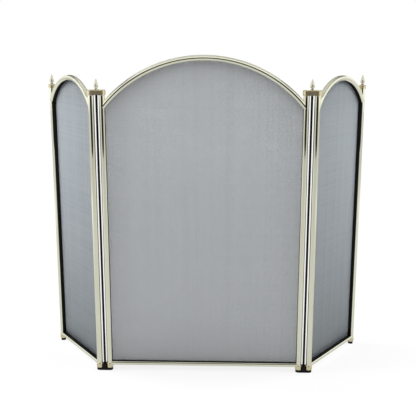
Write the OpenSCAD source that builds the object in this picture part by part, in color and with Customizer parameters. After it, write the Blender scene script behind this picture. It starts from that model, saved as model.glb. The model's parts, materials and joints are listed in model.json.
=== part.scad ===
// Three-panel fireplace screen: an arched centre panel and two arched wings on double-pivot hinge links.
// X runs along the centre panel, Y points to the back, Z is up and the floor is z = 0. Sizes in millimetres.

/* [Layout] */
// Distance between the middles of the two hinge links
link_span = 450; // [420:5:480]
// Distance between the two post axes joined by one hinge link
post_pitch = 23; // [22.5:0.5:26]
// Width of a wing, post axis to post axis
wing_w = 204; // [180:2:204]
// Angle each wing is folded back from the line of the centre panel
wing_angle = 54; // [30:1:80]

/* [Heights] */
// Height where the arch axes meet the post axes
spring_z = 593; // [540:1:660]
// Rise of the centre arch's axis above the spring points
centre_rise = 102.5; // [95:0.5:110]
// Rise of the wing arches' axes above the spring points
wing_rise = 57.5; // [50:0.5:62]
// Height of the hinge caps' underside above the spring points
cap_over = 26.5; // [24:0.5:32]

/* [Frame tubes] */
// Outside diameter of the post and arch tubes
tube_d = 13; // [12.5:0.25:13]
// Wall thickness of all tubes
tube_wall = 1; // [0.8:0.1:1.1]
// Outside diameter of the bottom rails
rail_d = 11.5; // [11:0.25:12]
// Height of the bottom rail axes
rail_z = 17; // [16.5:0.5:20]
// Outside diameter of the ferrules
ferrule_d = 15; // [14.5:0.25:15]
// Height of the ferrules' top edge
ferrule_top = 16.5; // [15.5:0.25:16.5]

/* [Edging and mesh] */
// Distance the side and arch edging reaches in front of the post axes
edge_front = 3.5; // [3:0.25:4]
// Distance the bottom edging reaches in front of the rail axis
rail_edge_front = 4.5; // [4:0.25:4.75]
// Distance all edging reaches behind the post axes
edge_back = 5.5; // [5:0.25:5.5]
// Thickness of the edging strips
edge_t = 3; // [2.5:0.25:3]
// Thickness of the woven mesh sheets
mesh_t = 0.8; // [0.8:0.1:1]
// Greatest cell of the plain lattice that stands for the weave
lattice_cell = 36; // [36:1:60]
// Width of the lattice's bars
lattice_bar = 7; // [4:0.5:12]

/* [Hinge links] */
// Radius of a cap's rounded ends
cap_r = 8.3; // [8:0.1:8.5]
// Thickness of the hinge caps
cap_t = 11; // [9:0.5:12]
// Height of the bevel on the caps' upper edge
cap_bevel = 1.4; // [1:0.1:2]
// Radius of a hinge foot's rounded ends
foot_r = 6.65; // [6.5:0.05:7]
// Thickness of a hinge foot's base plate
foot_t = 5.5; // [5:0.25:5.5]
// Height of the boss in the middle of a hinge foot
boss_top = 15; // [12:0.5:16]
// Width of the boss
boss_w = 10; // [9:0.5:10]
// Diameter of the tie rod
rod_d = 5; // [4:0.25:5.5]
// Diameter of the studs that hold the caps' finials
stud_d = 3; // [2.5:0.25:3.4]
// Diameter of the pivot pins
pin_d = 6; // [5:0.5:7]
// Length of the upper pivot pins in the posts
pin_l = 14; // [10:1:16]

/* [Outer posts] */
// Thickness of the outer caps
outer_cap_t = 8; // [7:0.5:9]
// Height of the outer feet
outer_foot_t = 6; // [5.9:0.1:7]
// Diameter of the outer feet
outer_foot_d = 11.5; // [11.5:0.25:12.5]
// Length of the plugs that hold caps and feet in the outer posts
plug_l = 8; // [6:0.5:10]

/* [Finials] */
// Height of a finial
finial_h = 22; // [20:0.5:24]
// Greatest diameter of a finial
finial_d = 10; // [9:0.25:11]
// Depth of a finial on its rod or stud
finial_grip = 9; // [7:0.5:10]

/* [Fits] */
// Radial clearance of a pivot pin in its bush
running_fit = 0.05; // [0.03:0.01:0.08]
// Clearance between pieces that are pressed, soldered or glued together
seat_fit = 0.02; // [0.02:0.01:0.05]
// Axial clearance of the pivots above the feet and below the caps
end_play = 0.3; // [0.3:0.05:0.5]
// Clearance around the hidden side of the edging strips
slot_fit = 0.1; // [0.1:0.05:0.3]
// Clearance around a ferrule that turns beside the foot's boss
boss_fit = 0.3; // [0.3:0.05:0.5]

/* [Hidden] */
$fn = 72;

LEFT = -1;
RIGHT = 1;
brass = [0.82, 0.76, 0.55];
black = [0.05, 0.05, 0.05];
wire = [0.35, 0.36, 0.37];
nylon = [0.85, 0.84, 0.8];

tube_r = tube_d / 2;
bore_r = tube_r - tube_wall;
rail_r = rail_d / 2;
rail_bore_r = rail_r - tube_wall;
ferrule_r = ferrule_d / 2;
pin_r = pin_d / 2;
rod_r = rod_d / 2;
stud_r = stud_d / 2;
half_pitch = post_pitch / 2;

centre_half = link_span / 2 - half_pitch;
wing_half = wing_w / 2;
wing_x = link_span / 2 + half_pitch;
mid_y = wing_w * sin(wing_angle) / 2;

// An arch is the circle through both spring points and the apex of its axis.
function arch_radius(half, rise) = (rise * rise + half * half) / (2 * rise);
function arch_centre_z(half, rise) = spring_z + rise - arch_radius(half, rise);
function arch_reach(half, rise) = asin(half / arch_radius(half, rise));

// The edging's visible face is flush with the tube where its front edge meets the tube.
edge_inner = sqrt(tube_r * tube_r - edge_front * edge_front);
edge_outer = edge_inner - edge_t;
rail_edge_top = rail_z + sqrt(rail_r * rail_r - rail_edge_front * rail_edge_front);
rail_edge_low = rail_edge_top - edge_t;

cap_z = spring_z + cap_over;
bush_flange_t = 0.8;
bush_flange_r = tube_r - 0.2;
bush_tail = 1;
post_foot_z = foot_t + end_play + bush_flange_t;
// The lower bushes and pins end under the edging that runs inside the posts.
foot_bush_top = rail_edge_low - 2 * slot_fit;
post_top_z = cap_z - end_play - bush_flange_t;
outer_top_z = cap_z + cap_t - outer_cap_t;
ferrule_low = foot_t + end_play + 0.2;
ferrule_chamfer = 1;
finial_z = cap_z + cap_t;
rod_foot_z = 1.5;

// ---- placing ----

module in_row() {
  translate([0, -mid_y, 0]) children();
}

module at_link(side) {
  in_row() translate([side * link_span / 2, 0, 0]) children();
}

// A wing is drawn with its inner post at the origin, its width along +X and its back towards +Y.
module at_wing(side) {
  in_row() mirror([side == LEFT ? 1 : 0, 0, 0])
    translate([wing_x, 0, 0]) rotate([0, 0, wing_angle]) children();
}

module at_wing_middle(side) {
  at_wing(side) translate([wing_half, 0, 0]) children();
}

module stand_up(front, back) {
  translate([0, back, 0]) rotate([90, 0, 0]) linear_extrude(height = front + back) children();
}

// ---- panel outline and the space it takes in the tubes ----

module outline(half, rise, inset, low) {
  radius = arch_radius(half, rise) - inset;
  mid = arch_centre_z(half, rise);
  width = half - inset;
  intersection() {
    translate([-width, low]) square([2 * width, mid + radius - low]);
    union() {
      translate([0, mid]) circle(r = radius, $fn = 360);
      translate([-width, low]) square([2 * width, mid - low]);
    }
  }
}

module panel_slot(half, rise) {
  stand_up(edge_front, tube_r * 2)
    outline(half, rise, edge_outer - slot_fit, rail_edge_low - slot_fit);
  translate([-half + edge_inner - slot_fit, -rail_edge_front, rail_edge_low - slot_fit])
    cube([2 * (half - edge_inner + slot_fit), rail_edge_front + tube_r, edge_t + tube_r]);
}

module edging(half, rise) {
  stand_up(edge_front, edge_back) difference() {
    outline(half, rise, edge_outer, rail_edge_low);
    outline(half, rise, edge_inner, rail_edge_low - 1);
  }
}

module edging_bottom(half) {
  width = half - edge_inner;
  translate([-width, -rail_edge_front, rail_edge_low])
    cube([2 * width, rail_edge_front + edge_back, edge_t]);
}

// One opening per cell, left out where the arch would leave less than a bar's width of it.
module lattice_openings(half, rise) {
  width = 2 * (half - edge_outer);
  low = rail_edge_low;
  mid = arch_centre_z(half, rise);
  reach = arch_radius(half, rise) - edge_inner - lattice_bar / 2;
  height = mid + arch_radius(half, rise) - edge_outer - low;
  columns = ceil(width / lattice_cell);
  rows = ceil(height / lattice_cell);
  cell = [width / columns, height / rows];
  for (column = [0:columns - 1]) for (row = [0:rows - 1]) {
    centre = [(column + 0.5) * cell[0] - width / 2, low + (row + 0.5) * cell[1]];
    near = [
      max(0, abs(centre[0]) - (cell[0] - lattice_bar) / 2), centre[1] - (cell[1] - lattice_bar) / 2 - mid
    ];
    if (near[1] < 0 || norm(near) < reach - lattice_bar)
      translate(centre) square([cell[0] - lattice_bar, cell[1] - lattice_bar], center = true);
  }
}

module mesh_sheet(half, rise) {
  stand_up(-edge_back, edge_back + mesh_t) difference() {
    outline(half, rise, edge_outer, rail_edge_low);
    intersection() {
      outline(half, rise, edge_inner + lattice_bar / 2, rail_edge_low);
      lattice_openings(half, rise);
    }
  }
}

// ---- tubes ----

module post(half, rise, side, low, high) {
  difference() {
    translate([side * half, 0, low]) cylinder(r = tube_r, h = high - low);
    translate([side * half, 0, low - 1]) cylinder(r = bore_r, h = high - low + 2);
    panel_slot(half, rise);
  }
}

module arch(half, rise) {
  radius = arch_radius(half, rise);
  reach = arch_reach(half, rise);
  difference() {
    translate([0, 0, arch_centre_z(half, rise)]) rotate([90, 0, 0]) rotate([0, 0, 90 - reach])
      rotate_extrude(angle = 2 * reach, $fn = 180) translate([radius, 0]) difference() {
        circle(r = tube_r, $fn = 36);
        circle(r = bore_r, $fn = 36);
      }
    for (side = [LEFT, RIGHT])
      translate([side * half, 0, spring_z / 2]) cylinder(r = tube_r + seat_fit, h = spring_z);
    panel_slot(half, rise);
  }
}

module rail(half, rise) {
  difference() {
    translate([-half, 0, rail_z]) rotate([0, 90, 0]) cylinder(r = rail_r, h = 2 * half);
    translate([-half - 1, 0, rail_z]) rotate([0, 90, 0]) cylinder(r = rail_bore_r, h = 2 * half + 2);
    for (side = [LEFT, RIGHT]) {
      translate([side * half, 0, 0]) cylinder(r = tube_r + seat_fit, h = 2 * rail_z);
      translate([side * half, 0, 0]) cylinder(r = ferrule_r + seat_fit, h = ferrule_top + seat_fit);
    }
    panel_slot(half, rise);
  }
}

module ferrule(low) {
  rotate_extrude() polygon([
    [tube_r + seat_fit, low], [ferrule_r - ferrule_chamfer / 2, low], [ferrule_r, low + ferrule_chamfer / 2],
    [ferrule_r, ferrule_top - ferrule_chamfer], [ferrule_r - ferrule_chamfer / 2, ferrule_top],
    [tube_r + seat_fit, ferrule_top]
  ]);
}

// ---- pivots ----

module bush(length) {
  rotate_extrude() polygon([
    [pin_r + running_fit, 0], [bush_flange_r, 0], [bush_flange_r, bush_flange_t],
    [bore_r - seat_fit, bush_flange_t], [bore_r - seat_fit, length], [pin_r + running_fit, length]
  ]);
}

module bush_foot() {
  translate([0, 0, foot_t + end_play]) bush(foot_bush_top - foot_t - end_play);
}

module bush_top() {
  translate([0, 0, cap_z - end_play]) rotate([180, 0, 0]) bush(pin_l + bush_tail);
}

// ---- hinge links ----

module rounded_bar(radius, bevel, height) {
  side_line = [[radius, 0], [radius, height - bevel], [radius - bevel, height]];
  for (turn = [0, 180])
    rotate([0, 0, turn]) translate([half_pitch, 0, 0]) rotate([0, 0, -90])
      rotate_extrude(angle = 180) polygon(concat([[0, 0]], side_line, [[0, height]]));
  translate([-half_pitch, 0, 0]) rotate([90, 0, 90]) linear_extrude(height = post_pitch)
    polygon([for (turn = [1, -1]) for (i = [0:2])
      let (p = side_line[turn == 1 ? i : 2 - i]) [turn * p[0], p[1]]]);
}

module hinge_cap() {
  difference() {
    union() {
      translate([0, 0, cap_z]) rounded_bar(cap_r, cap_bevel, cap_t);
      for (side = [LEFT, RIGHT])
        translate([side * half_pitch, 0, cap_z - end_play - pin_l])
          cylinder(r = pin_r, h = pin_l + end_play + 1);
    }
    translate([0, 0, cap_z - 1]) cylinder(r = stud_r + seat_fit, h = cap_t + 2);
  }
}

module hinge_foot() {
  difference() {
    union() {
      rounded_bar(foot_r, 0.8, foot_t);
      intersection() {
        translate([-boss_w / 2, -foot_r, foot_t - 1]) cube([boss_w, 2 * foot_r, boss_top - foot_t + 1]);
        cylinder(r = foot_r, h = boss_top + 1);
      }
      for (side = [LEFT, RIGHT])
        translate([side * half_pitch, 0, foot_t - 1])
          cylinder(r = pin_r, h = foot_bush_top - bush_tail - foot_t + 1);
    }
    for (side = [LEFT, RIGHT])
      translate([side * half_pitch, 0, foot_t]) difference() {
        cylinder(r = ferrule_r + boss_fit, h = boss_top);
        translate([0, 0, -1]) cylinder(r = pin_r, h = boss_top + 2);
      }
    translate([0, 0, rod_foot_z]) cylinder(r = rod_r + seat_fit, h = boss_top);
  }
}

// The rod's shoulder meets the cap's underside; its stud runs through the cap into the finial.
module tie_rod() {
  translate([0, 0, rod_foot_z]) cylinder(r = rod_r, h = cap_z - rod_foot_z);
  translate([0, 0, cap_z - 1]) cylinder(r = stud_r, h = cap_t + finial_grip);
}

// ---- finials and outer posts ----

module finial_shape() {
  widest = finial_d / 2;
  rotate_extrude() polygon([
    [0, 0], [widest * 0.9, 0], [widest * 0.9, finial_h * 0.05], [widest * 0.5, finial_h * 0.11],
    [widest * 0.5, finial_h * 0.16], [widest * 0.86, finial_h * 0.25], [widest, finial_h * 0.36],
    [widest * 0.9, finial_h * 0.5], [widest * 0.66, finial_h * 0.68], [widest * 0.42, finial_h * 0.86],
    [widest * 0.24, finial_h * 0.97], [widest * 0.1, finial_h], [0, finial_h]
  ]);
}

module finial() {
  translate([0, 0, finial_z]) difference() {
    finial_shape();
    translate([0, 0, -1]) cylinder(r = stud_r + seat_fit, h = finial_grip + 1);
  }
}

module outer_finial() {
  translate([0, 0, finial_z]) {
    finial_shape();
    translate([0, 0, -plug_l]) cylinder(r = stud_r, h = plug_l + 1);
  }
}

module outer_cap() {
  difference() {
    union() {
      translate([0, 0, outer_top_z]) rotate_extrude() polygon([
        [0, 0], [cap_r, 0], [cap_r, outer_cap_t - cap_bevel], [cap_r - cap_bevel, outer_cap_t], [0, outer_cap_t]
      ]);
      translate([0, 0, outer_top_z - plug_l]) cylinder(r = bore_r - seat_fit, h = plug_l + 1);
    }
    translate([0, 0, finial_z - plug_l - 1]) cylinder(r = stud_r + seat_fit, h = plug_l + 2);
  }
}

module outer_foot() {
  cylinder(r = outer_foot_d / 2, h = outer_foot_t);
  translate([0, 0, outer_foot_t - 1]) cylinder(r = bore_r - seat_fit, h = plug_l + 1);
}

// ---- centre panel ----

module centre_post_left() {
  color(brass) in_row() post(centre_half, centre_rise, LEFT, post_foot_z, post_top_z);
}

module centre_post_right() {
  color(brass) in_row() post(centre_half, centre_rise, RIGHT, post_foot_z, post_top_z);
}

module centre_arch() {
  color(brass) in_row() arch(centre_half, centre_rise);
}

module centre_rail() {
  color(brass) in_row() rail(centre_half, centre_rise);
}

module centre_mesh() {
  color(wire) in_row() mesh_sheet(centre_half, centre_rise);
}

module centre_edging() {
  color(black) in_row() edging(centre_half, centre_rise);
}

module centre_edging_bottom() {
  color(black) in_row() edging_bottom(centre_half);
}

module centre_ferrule_left() {
  color(brass) in_row() translate([-centre_half, 0, 0]) ferrule(ferrule_low);
}

module centre_ferrule_right() {
  color(brass) in_row() translate([centre_half, 0, 0]) ferrule(ferrule_low);
}

module centre_bush_top_left() {
  color(nylon) in_row() translate([-centre_half, 0, 0]) bush_top();
}

module centre_bush_top_right() {
  color(nylon) in_row() translate([centre_half, 0, 0]) bush_top();
}

module centre_bush_foot_left() {
  color(nylon) in_row() translate([-centre_half, 0, 0]) bush_foot();
}

module centre_bush_foot_right() {
  color(nylon) in_row() translate([centre_half, 0, 0]) bush_foot();
}

// ---- hinge links ----

module left_cap() {
  color(brass) at_link(LEFT) hinge_cap();
}

module left_finial() {
  color(brass) at_link(LEFT) finial();
}

module left_tie_rod() {
  color(black) at_link(LEFT) tie_rod();
}

module left_foot() {
  color(black) at_link(LEFT) hinge_foot();
}

module right_cap() {
  color(brass) at_link(RIGHT) hinge_cap();
}

module right_finial() {
  color(brass) at_link(RIGHT) finial();
}

module right_tie_rod() {
  color(black) at_link(RIGHT) tie_rod();
}

module right_foot() {
  color(black) at_link(RIGHT) hinge_foot();
}

// ---- wings ----

module left_wing_inner_post() {
  color(brass) at_wing_middle(LEFT) post(wing_half, wing_rise, LEFT, post_foot_z, post_top_z);
}

module left_wing_outer_post() {
  color(brass) at_wing_middle(LEFT) post(wing_half, wing_rise, RIGHT, outer_foot_t, outer_top_z);
}

module left_wing_arch() {
  color(brass) at_wing_middle(LEFT) arch(wing_half, wing_rise);
}

module left_wing_rail() {
  color(brass) at_wing_middle(LEFT) rail(wing_half, wing_rise);
}

module left_wing_mesh() {
  color(wire) at_wing_middle(LEFT) mesh_sheet(wing_half, wing_rise);
}

module left_wing_edging() {
  color(black) at_wing_middle(LEFT) edging(wing_half, wing_rise);
}

module left_wing_edging_bottom() {
  color(black) at_wing_middle(LEFT) edging_bottom(wing_half);
}

module left_wing_inner_ferrule() {
  color(brass) at_wing(LEFT) ferrule(ferrule_low);
}

module left_wing_outer_ferrule() {
  color(brass) at_wing(LEFT) translate([wing_w, 0, 0]) ferrule(outer_foot_t);
}

module left_wing_outer_foot() {
  color(black) at_wing(LEFT) translate([wing_w, 0, 0]) outer_foot();
}

module left_wing_outer_cap() {
  color(brass) at_wing(LEFT) translate([wing_w, 0, 0]) outer_cap();
}

module left_wing_outer_finial() {
  color(brass) at_wing(LEFT) translate([wing_w, 0, 0]) outer_finial();
}

module left_wing_bush_top() {
  color(nylon) at_wing(LEFT) bush_top();
}

module left_wing_bush_foot() {
  color(nylon) at_wing(LEFT) bush_foot();
}

module right_wing_inner_post() {
  color(brass) at_wing_middle(RIGHT) post(wing_half, wing_rise, LEFT, post_foot_z, post_top_z);
}

module right_wing_outer_post() {
  color(brass) at_wing_middle(RIGHT) post(wing_half, wing_rise, RIGHT, outer_foot_t, outer_top_z);
}

module right_wing_arch() {
  color(brass) at_wing_middle(RIGHT) arch(wing_half, wing_rise);
}

module right_wing_rail() {
  color(brass) at_wing_middle(RIGHT) rail(wing_half, wing_rise);
}

module right_wing_mesh() {
  color(wire) at_wing_middle(RIGHT) mesh_sheet(wing_half, wing_rise);
}

module right_wing_edging() {
  color(black) at_wing_middle(RIGHT) edging(wing_half, wing_rise);
}

module right_wing_edging_bottom() {
  color(black) at_wing_middle(RIGHT) edging_bottom(wing_half);
}

module right_wing_inner_ferrule() {
  color(brass) at_wing(RIGHT) ferrule(ferrule_low);
}

module right_wing_outer_ferrule() {
  color(brass) at_wing(RIGHT) translate([wing_w, 0, 0]) ferrule(outer_foot_t);
}

module right_wing_outer_foot() {
  color(black) at_wing(RIGHT) translate([wing_w, 0, 0]) outer_foot();
}

module right_wing_outer_cap() {
  color(brass) at_wing(RIGHT) translate([wing_w, 0, 0]) outer_cap();
}

module right_wing_outer_finial() {
  color(brass) at_wing(RIGHT) translate([wing_w, 0, 0]) outer_finial();
}

module right_wing_bush_top() {
  color(nylon) at_wing(RIGHT) bush_top();
}

module right_wing_bush_foot() {
  color(nylon) at_wing(RIGHT) bush_foot();
}

// ---- drawing ----

centre_post_left();
centre_post_right();
centre_arch();
centre_rail();
centre_mesh();
centre_edging();
centre_edging_bottom();
centre_ferrule_left();
centre_ferrule_right();
centre_bush_top_left();
centre_bush_top_right();
centre_bush_foot_left();
centre_bush_foot_right();
left_cap();
left_finial();
left_tie_rod();
left_foot();
right_cap();
right_finial();
right_tie_rod();
right_foot();
left_wing_inner_post();
left_wing_outer_post();
left_wing_arch();
left_wing_rail();
left_wing_mesh();
left_wing_edging();
left_wing_edging_bottom();
left_wing_inner_ferrule();
left_wing_outer_ferrule();
left_wing_outer_foot();
left_wing_outer_cap();
left_wing_outer_finial();
left_wing_bush_top();
left_wing_bush_foot();
right_wing_inner_post();
right_wing_outer_post();
right_wing_arch();
right_wing_rail();
right_wing_mesh();
right_wing_edging();
right_wing_edging_bottom();
right_wing_inner_ferrule();
right_wing_outer_ferrule();
right_wing_outer_foot();
right_wing_outer_cap();
right_wing_outer_finial();
right_wing_bush_top();
right_wing_bush_foot();
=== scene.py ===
import json
import math

import bpy
from mathutils import Matrix, Vector, geometry


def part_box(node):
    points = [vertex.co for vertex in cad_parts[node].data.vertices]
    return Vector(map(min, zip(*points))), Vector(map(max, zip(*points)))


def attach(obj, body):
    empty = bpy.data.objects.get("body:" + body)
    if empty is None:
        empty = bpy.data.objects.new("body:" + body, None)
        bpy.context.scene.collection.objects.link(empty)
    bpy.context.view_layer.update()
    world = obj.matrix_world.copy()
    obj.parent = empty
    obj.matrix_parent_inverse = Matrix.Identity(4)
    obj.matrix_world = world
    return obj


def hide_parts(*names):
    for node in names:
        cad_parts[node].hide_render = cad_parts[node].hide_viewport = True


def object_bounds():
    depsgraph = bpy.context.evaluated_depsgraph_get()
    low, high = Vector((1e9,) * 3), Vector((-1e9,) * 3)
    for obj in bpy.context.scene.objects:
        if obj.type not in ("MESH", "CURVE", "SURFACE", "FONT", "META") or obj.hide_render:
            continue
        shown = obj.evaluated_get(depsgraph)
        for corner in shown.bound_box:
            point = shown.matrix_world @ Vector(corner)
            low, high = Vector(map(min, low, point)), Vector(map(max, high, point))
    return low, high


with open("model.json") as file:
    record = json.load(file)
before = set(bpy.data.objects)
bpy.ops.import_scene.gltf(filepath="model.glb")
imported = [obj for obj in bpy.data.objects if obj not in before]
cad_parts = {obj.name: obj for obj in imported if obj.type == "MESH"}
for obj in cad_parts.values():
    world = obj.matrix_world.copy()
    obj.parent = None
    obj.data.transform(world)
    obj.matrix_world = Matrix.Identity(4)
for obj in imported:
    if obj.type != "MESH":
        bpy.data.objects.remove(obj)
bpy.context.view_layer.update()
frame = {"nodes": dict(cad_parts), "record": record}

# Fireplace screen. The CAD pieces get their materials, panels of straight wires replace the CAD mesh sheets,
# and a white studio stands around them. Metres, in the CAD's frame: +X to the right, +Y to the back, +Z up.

scene = bpy.context.scene
nodes = frame["nodes"]
UP = Vector((0, 0, 1))


# ---- node trees ----

class Nodes:
    """A node tree with short calls for adding and linking nodes."""

    def __init__(self, tree, empty=False):
        self.tree = tree
        if empty:
            tree.nodes.clear()

    def add(self, kind, **values):
        """A new node. Each value sets the input of that name, with _ for a space, or else the node itself."""
        node = self.tree.nodes.new(kind)
        for name, value in values.items():
            socket = name.replace("_", " ")
            if socket in node.inputs:
                node.inputs[socket].default_value = value
            else:
                setattr(node, name, value)
        return node

    def link(self, source, target):
        self.tree.links.new(source, target)

    def ramp(self, source, low, high, target, edges=(0.3, 0.7)):
        """Colour the target socket from `low` to `high` while the source goes from one edge to the other."""
        ramp = self.add("ShaderNodeValToRGB")
        for element, edge, colour in zip(ramp.color_ramp.elements, edges, (low, high)):
            element.position = edge
            element.color = (*colour, 1)
        self.link(source, ramp.inputs["Fac"])
        self.link(ramp.outputs["Color"], target)

    def noise(self, coords, scale, detail=3.0, stretch=(1, 1, 1)):
        """Noise from 0 to 1. A `stretch` under 1 draws it out along that axis."""
        mapping = self.add("ShaderNodeMapping", Scale=stretch)
        self.link(coords, mapping.inputs["Vector"])
        texture = self.add("ShaderNodeTexNoise", Scale=scale, Detail=detail)
        self.link(mapping.outputs["Vector"], texture.inputs["Vector"])
        return texture.outputs["Fac"]

    def bump(self, shader, height, strength, distance=0.0002):
        node = self.add("ShaderNodeBump", Strength=strength, Distance=distance)
        self.link(height, node.inputs["Height"])
        self.link(node.outputs["Normal"], shader.inputs["Normal"])

    def mix(self, share, first, second):
        """The second shader by the given share, and the first for the rest."""
        node = self.add("ShaderNodeMixShader")
        self.link(share, node.inputs["Fac"])
        self.link(first.outputs[0], node.inputs[1])
        self.link(second.outputs[0], node.inputs[2])
        return node

    def seen_ray(self):
        """One for camera, glossy and transmission rays, zero for the rays that carry diffuse light."""
        path = self.add("ShaderNodeLightPath")
        shiny = self.add("ShaderNodeMath", operation="MAXIMUM")
        self.link(path.outputs["Is Glossy Ray"], shiny.inputs[0])
        self.link(path.outputs["Is Transmission Ray"], shiny.inputs[1])
        seen = self.add("ShaderNodeMath", operation="MAXIMUM")
        self.link(path.outputs["Is Camera Ray"], seen.inputs[0])
        self.link(shiny.outputs[0], seen.inputs[1])
        return seen.outputs[0]


def grey(value):
    return (value, value, value)


def new_material(name, **values):
    """A Principled material: (material, its Nodes, the shader, object coordinates)."""
    material = bpy.data.materials.new(name)
    material.use_nodes = True
    made = Nodes(material.node_tree)
    shader = material.node_tree.nodes["Principled BSDF"]
    for socket, value in values.items():
        shader.inputs[socket.replace("_", " ")].default_value = value
    coords = made.add("ShaderNodeTexCoord").outputs["Object"]
    return material, made, shader, coords


# ---- materials ----

DRAWN_MARKS = (6, 6, 0.15)        # draws the polishing marks of the brass out along Z
UPRIGHT_STREAKS = (1, 1, 0.004)   # draws the tone of the mesh out along its upright wires
LEVEL_STREAKS = (0.004, 0.004, 1) # and along its level wires
WIRE_DARK = (0.318, 0.346, 0.368)
WIRE_LIGHT = (0.363, 0.392, 0.414)
NYLON_DARK = (0.78, 0.76, 0.70)
NYLON_LIGHT = (0.86, 0.85, 0.80)
BLACK_SPREAD = 1.5                # the lightest black of a material over its darkest


def brass(name, low, high, smooth, rough):
    """Brass between two colours in slow clouds, and between two roughnesses in marks drawn out along Z."""
    material, made, shader, coords = new_material(name, Metallic=1.0)
    cloud = made.noise(coords, scale=9.0, detail=4.0)
    made.ramp(cloud, low, high, shader.inputs["Base Color"], edges=(0.35, 0.65))
    drawn = made.noise(coords, scale=60.0, stretch=DRAWN_MARKS)
    made.ramp(drawn, grey(smooth), grey(rough), shader.inputs["Roughness"])
    made.bump(shader, drawn, strength=0.03)
    return material


def black(name, base, smooth, rough):
    """Black enamel or moulding with a very fine grain."""
    material, made, shader, coords = new_material(name, Specular_IOR_Level=0.12)
    cloud = made.noise(coords, scale=30.0, detail=4.0)
    made.ramp(cloud, base, tuple(BLACK_SPREAD * c for c in base), shader.inputs["Base Color"])
    made.ramp(cloud, grey(smooth), grey(rough), shader.inputs["Roughness"])
    grain = made.noise(coords, scale=900.0, detail=2.0)
    made.bump(shader, grain, strength=0.08)
    return material


def natural_nylon():
    material, made, shader, coords = new_material("natural_nylon", Roughness=0.5)
    cloud = made.noise(coords, scale=80.0)
    made.ramp(cloud, NYLON_DARK, NYLON_LIGHT, shader.inputs["Base Color"])
    return material


def mesh_wire():
    """Satin grey wire with faint upright and level streaks in its tone, from the sum of two noises."""
    material, made, shader, coords = new_material("mesh_wire")
    warp = made.noise(coords, scale=180.0, detail=2.0, stretch=UPRIGHT_STREAKS)
    weft = made.noise(coords, scale=500.0, detail=2.0, stretch=LEVEL_STREAKS)
    streaks = made.add("ShaderNodeMath", operation="ADD")
    made.link(warp, streaks.inputs[0])
    made.link(weft, streaks.inputs[1])
    made.ramp(streaks.outputs[0], WIRE_DARK, WIRE_LIGHT, shader.inputs["Base Color"], edges=(0.75, 1.0))
    cloud = made.noise(coords, scale=6.0)
    made.ramp(cloud, grey(0.42), grey(0.55), shader.inputs["Roughness"])
    return material


tube_brass = brass("tube_brass", (0.80, 0.80, 0.635), (0.86, 0.86, 0.70), 0.03, 0.06)
cast_brass = brass("cast_brass", (0.69, 0.66, 0.51), (0.76, 0.73, 0.58), 0.24, 0.3)
cap_brass = brass("cap_brass", (0.76, 0.67, 0.42), (0.82, 0.73, 0.48), 0.27, 0.33)
ferrule_brass = brass("ferrule_brass", (0.69, 0.62, 0.40), (0.77, 0.70, 0.47), 0.08, 0.14)
enamel = black("black_enamel", (0.005, 0.005, 0.0045), 0.3, 0.42)
moulding = black("black_moulding", (0.006, 0.006, 0.0055), 0.42, 0.6)
nylon = natural_nylon()
wire = mesh_wire()

BY_WORD = {"ferrule": ferrule_brass, "cap": cap_brass, "finial": cast_brass}
BY_SLOT = {
    "brass": tube_brass,
    "edging": enamel,
    "tie_rod": enamel,
    "foot": moulding,
    "bush": nylon,
    "mesh": wire,
}
slots = {part["node"]: part["material_slot"] for part in frame["record"]["subparts"]}


def finish_of(name):
    """The finish of a CAD node: that of a word in its name, or else that of its slot."""
    for word, material in BY_WORD.items():
        if word in name:
            return material
    return BY_SLOT[slots[name]]


for name, node in nodes.items():
    node.data.materials.clear()
    node.data.materials.append(finish_of(name))


# ---- wire mesh panels ----

WIRE = 0.0004                     # diameter of a wire
PITCH = 0.0007                    # from one wire to the next
SIDES = 6                         # flats around a wire
SHORTEST = 2 * WIRE               # a wire shorter than this is left out
FACE_DEPTH = 0.0001               # how near the front a point of the front face lies
PLACES = 5                        # decimals to which outline points are told apart


def outline_span(points, at, axis):
    """Where the line on which coordinate `axis` is `at` crosses the outline: (lowest, highest) or None."""
    found = []
    for p, q in zip(points, points[1:] + points[:1]):
        if (p[axis] - at) * (q[axis] - at) < 0:
            share = (at - p[axis]) / (q[axis] - p[axis])
            found.append(p[1 - axis] + share * (q[1 - axis] - p[1 - axis]))
    return (min(found), max(found)) if len(found) > 1 else None


def sheet_outline(node):
    """An upright sheet: (depth of its front face, width direction, depth direction, that face's outline)."""
    mesh = node.data
    verts = [v.co for v in mesh.vertices]
    face = max(mesh.polygons, key=lambda p: p.area).normal
    depth = Vector((face.x, face.y, 0)).normalized()
    if depth.y < 0:
        depth = -depth
    width = Vector((depth.y, -depth.x, 0))
    front = min(v.dot(depth) for v in verts)
    on_face = [v for v in verts if v.dot(depth) - front < FACE_DEPTH]
    points = list(dict.fromkeys((round(v.dot(width), PLACES), round(v.z, PLACES)) for v in on_face))
    return front, width, depth, [points[k] for k in geometry.convex_hull_2d(points)]


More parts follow.
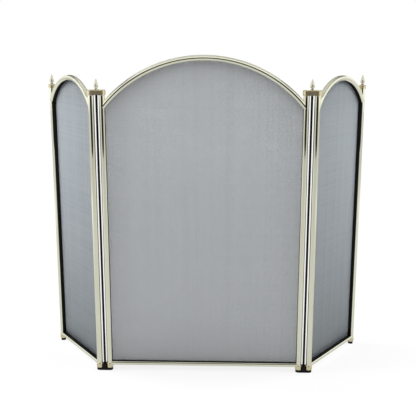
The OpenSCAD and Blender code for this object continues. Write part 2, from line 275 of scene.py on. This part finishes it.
def wire_panel(node_name, body):
    """A layer of upright wires and one of level wires behind it, cut to the outline of a CAD mesh sheet."""
    front, width, depth, points = sheet_outline(nodes[node_name])
    radius = WIRE / 2
    half_depth = radius * math.cos(math.pi / SIDES)
    turns = [2 * math.pi * k / SIDES for k in range(SIDES)]
    ring = [(math.cos(turn), math.sin(turn)) for turn in turns]
    verts, faces = [], []

    def add_wire(ends, across):
        first = len(verts)
        for end in ends:
            verts.extend(end + radius * (a * across + b * depth) for a, b in ring)
        for k in range(SIDES):
            n = (k + 1) % SIDES
            faces.append((first + k, first + n, first + SIDES + n, first + SIDES + k))
        faces.append(tuple(first + k for k in reversed(range(SIDES))))
        faces.append(tuple(first + SIDES + k for k in range(SIDES)))

    for axis, layer in ((0, front + half_depth), (1, front + 3 * half_depth)):
        low = min(p[axis] for p in points)
        high = max(p[axis] for p in points)
        count = int((high - low) / PITCH)
        start = (low + high - count * PITCH) / 2
        for k in range(count + 1):
            at = start + k * PITCH
            span = outline_span(points, at, axis)
            if span is None or span[1] - span[0] < SHORTEST:
                continue
            if axis == 0:
                add_wire([at * width + depth * layer + UP * z for z in span], width)
            else:
                add_wire([x * width + depth * layer + UP * at for x in span], UP)

    mesh = bpy.data.meshes.new(node_name + "_wires")
    mesh.from_pydata(verts, [], faces)
    mesh.materials.append(wire)
    for polygon in mesh.polygons:
        is_end = polygon.vertices[0] // SIDES == polygon.vertices[-1] // SIDES
        polygon.use_smooth = not is_end
    piece = bpy.data.objects.new(node_name + "_wires", mesh)
    scene.collection.objects.link(piece)
    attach(piece, body)
    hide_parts(node_name)


wire_panel("centre_mesh", "centre_panel")
wire_panel("left_wing_mesh", "left_wing")
wire_panel("right_wing_mesh", "right_wing")


# ---- floor and cards ----

FLOOR_REACH = 6.0                 # from the middle to each side
FLOOR_PAINT = (0.80, 0.82)        # the paint that lights the object
SEEN_PAINT = (0.155, 0.165)       # the share of paint that is seen, which shows the shadow
GLOW_FROM, GLOW_TO = 0.9, 3.2     # distances from the middle between which the seen floor gets brighter
GLOW_NEAR, GLOW_FAR = 0.8, 0.98
GLOW_REFLECTED = 0.5              # the floor is darker in reflections
ROOM_FRONT = -3.1                 # y of the dark room before the screen
ROOM_SIDE = 2.1
ROOM_HEIGHT = 2.0
CEILING_HEIGHT = 2.3
CEILING_SIDE = 3
CEILING_FRONT, CEILING_BACK = -1.0, 3.5


def plane(name, corners, material, **flags):
    mesh = bpy.data.meshes.new(name)
    mesh.from_pydata(corners, [], [(0, 1, 2, 3)])
    mesh.materials.append(material)
    sheet = bpy.data.objects.new(name, mesh)
    scene.collection.objects.link(sheet)
    for flag, value in flags.items():
        setattr(sheet, flag, value)


def flat_corners(side, front, back, height):
    """Corners of a level rectangle."""
    return [(-side, front, height), (side, front, height), (side, back, height), (-side, back, height)]


def floor_material():
    """Pale paint that lights the object as it is and looks close to white, with the object's shadow kept."""
    material = bpy.data.materials.new("pale_floor")
    material.use_nodes = True
    made = Nodes(material.node_tree, empty=True)
    coords = made.add("ShaderNodeTexCoord").outputs["Object"]
    cloud = made.noise(coords, scale=3.0)
    paint = made.add("ShaderNodeBsdfDiffuse")
    made.ramp(cloud, *map(grey, FLOOR_PAINT), paint.inputs["Color"])
    seen_paint = made.add("ShaderNodeBsdfDiffuse")
    made.ramp(cloud, *map(grey, SEEN_PAINT), seen_paint.inputs["Color"])

    path = made.add("ShaderNodeLightPath")
    away = made.add("ShaderNodeVectorMath", operation="LENGTH")
    made.link(coords, away.inputs[0])
    direct = made.add("ShaderNodeMapRange", From_Min=GLOW_FROM, From_Max=GLOW_TO,
                      To_Min=GLOW_NEAR, To_Max=GLOW_FAR)
    made.link(away.outputs["Value"], direct.inputs["Value"])
    level = made.add("ShaderNodeMapRange", To_Max=GLOW_REFLECTED)
    made.link(path.outputs["Is Glossy Ray"], level.inputs["Value"])
    made.link(direct.outputs["Result"], level.inputs["To Min"])
    glow = made.add("ShaderNodeEmission")
    made.link(level.outputs["Result"], glow.inputs["Strength"])

    seen = made.add("ShaderNodeAddShader")
    made.link(seen_paint.outputs[0], seen.inputs[0])
    made.link(glow.outputs[0], seen.inputs[1])
    look = made.mix(made.seen_ray(), paint, seen)
    made.link(look.outputs[0], made.add("ShaderNodeOutputMaterial").inputs["Surface"])
    return material


def card(name, low, high, corners):
    """A card that only reflections show."""
    material, made, shader, coords = new_material(name, Roughness=0.9)
    made.ramp(made.noise(coords, scale=2.0), low, high, shader.inputs["Base Color"])
    plane(name, corners, material, visible_camera=False, visible_diffuse=False, visible_shadow=False,
          visible_transmission=False)


floor_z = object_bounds()[0][2]
plane("floor", flat_corners(FLOOR_REACH, -FLOOR_REACH, FLOOR_REACH, floor_z), floor_material())
card("dark_room", (0.012, 0.009, 0.006), (0.02, 0.016, 0.01),
     [(-ROOM_SIDE, ROOM_FRONT, 0), (ROOM_SIDE, ROOM_FRONT, 0),
      (ROOM_SIDE, ROOM_FRONT, ROOM_HEIGHT), (-ROOM_SIDE, ROOM_FRONT, ROOM_HEIGHT)])
card("grey_ceiling", grey(0.46), grey(0.50),
     flat_corners(CEILING_SIDE, CEILING_FRONT, CEILING_BACK, CEILING_HEIGHT))


# ---- lamps and world ----

LAMP_FRONT = -0.55                # y of the softboxes, in front of the screen
AIM = (0, 0, 0.6)                 # what the top softbox and the washes point at
ROOM_LIGHT = 0.3                  # the world to diffuse rays
WHITE = 1.0                       # the world to camera, glossy and transmission rays


def softbox(name, place, target, size, power, in_reflections=True):
    """A rectangular lamp that faces the target, with its width level."""
    data = bpy.data.lights.new(name, "AREA")
    data.shape = "RECTANGLE"
    data.size, data.size_y = size
    data.energy = power
    lamp = bpy.data.objects.new(name, data)
    lamp.location = place
    lamp.rotation_euler = (Vector(target) - Vector(place)).to_track_quat("-Z", "Y").to_euler()
    lamp.visible_camera = False
    lamp.visible_glossy = in_reflections
    scene.collection.objects.link(lamp)


def studio_world():
    """White to the rays that are seen, and a dimmer room to the rays that carry diffuse light."""
    world = bpy.data.worlds.new("studio")
    world.use_nodes = True
    made = Nodes(world.node_tree, empty=True)
    room = made.add("ShaderNodeBackground", Color=(1, 1, 1, 1), Strength=ROOM_LIGHT)
    white = made.add("ShaderNodeBackground", Color=(1, 1, 1, 1), Strength=WHITE)
    look = made.mix(made.seen_ray(), room, white)
    made.link(look.outputs[0], made.add("ShaderNodeOutputWorld").inputs["Surface"])
    return world


for name, side, power in (("softbox_left", -1, 2.0), ("softbox_right", 1, 1.5)):
    softbox(name, place=(1.5 * side, LAMP_FRONT, 0.9), target=(0, LAMP_FRONT, 0.9), size=(2.1, 1.8),
            power=power)
softbox("softbox_top", place=(-0.1, LAMP_FRONT, 1.4), target=AIM, size=(1.6, 0.5), power=4.5,
        in_reflections=False)
for name, side, power in (("wash_left", -1, 68), ("wash_right", 1, 54)):
    softbox(name, place=(2.0 * side, 0.15, 1.25), target=AIM, size=(1.6, 1.6), power=power,
            in_reflections=False)
scene.world = studio_world()


# ---- camera ----

LENS = 64.45                      # focal length and sensor width in millimetres
SENSOR = 36
CAMERA_RIGHT = 0.0550             # from the middle of the screen
CAMERA_BACK = 1.5626              # from the plane of the centre posts
CAMERA_UP = 0.7439                # from the floor
TILT_DOWN = math.radians(13.162)
YAW = math.radians(-1.686)
ROLL = math.radians(0.048)

post_low, post_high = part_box("centre_post_left")
post_y = (post_low[1] + post_high[1]) / 2
forward = Vector((
    math.sin(YAW) * math.cos(TILT_DOWN),
    math.cos(YAW) * math.cos(TILT_DOWN),
    -math.sin(TILT_DOWN),
))
level = Vector((math.cos(YAW), -math.sin(YAW), 0))
upward = level.cross(forward)
right = math.cos(ROLL) * level + math.sin(ROLL) * upward
top = math.cos(ROLL) * upward - math.sin(ROLL) * level

camera_data = bpy.data.cameras.new("camera")
camera_data.lens = LENS
camera_data.sensor_width = SENSOR
camera = bpy.data.objects.new("camera", camera_data)
scene.collection.objects.link(camera)
turn = Matrix((right, top, -forward)).transposed().to_4x4()
camera.matrix_world = Matrix.Translation((CAMERA_RIGHT, post_y - CAMERA_BACK, CAMERA_UP)) @ turn
scene.camera = camera

scene.view_settings.view_transform = "Standard"
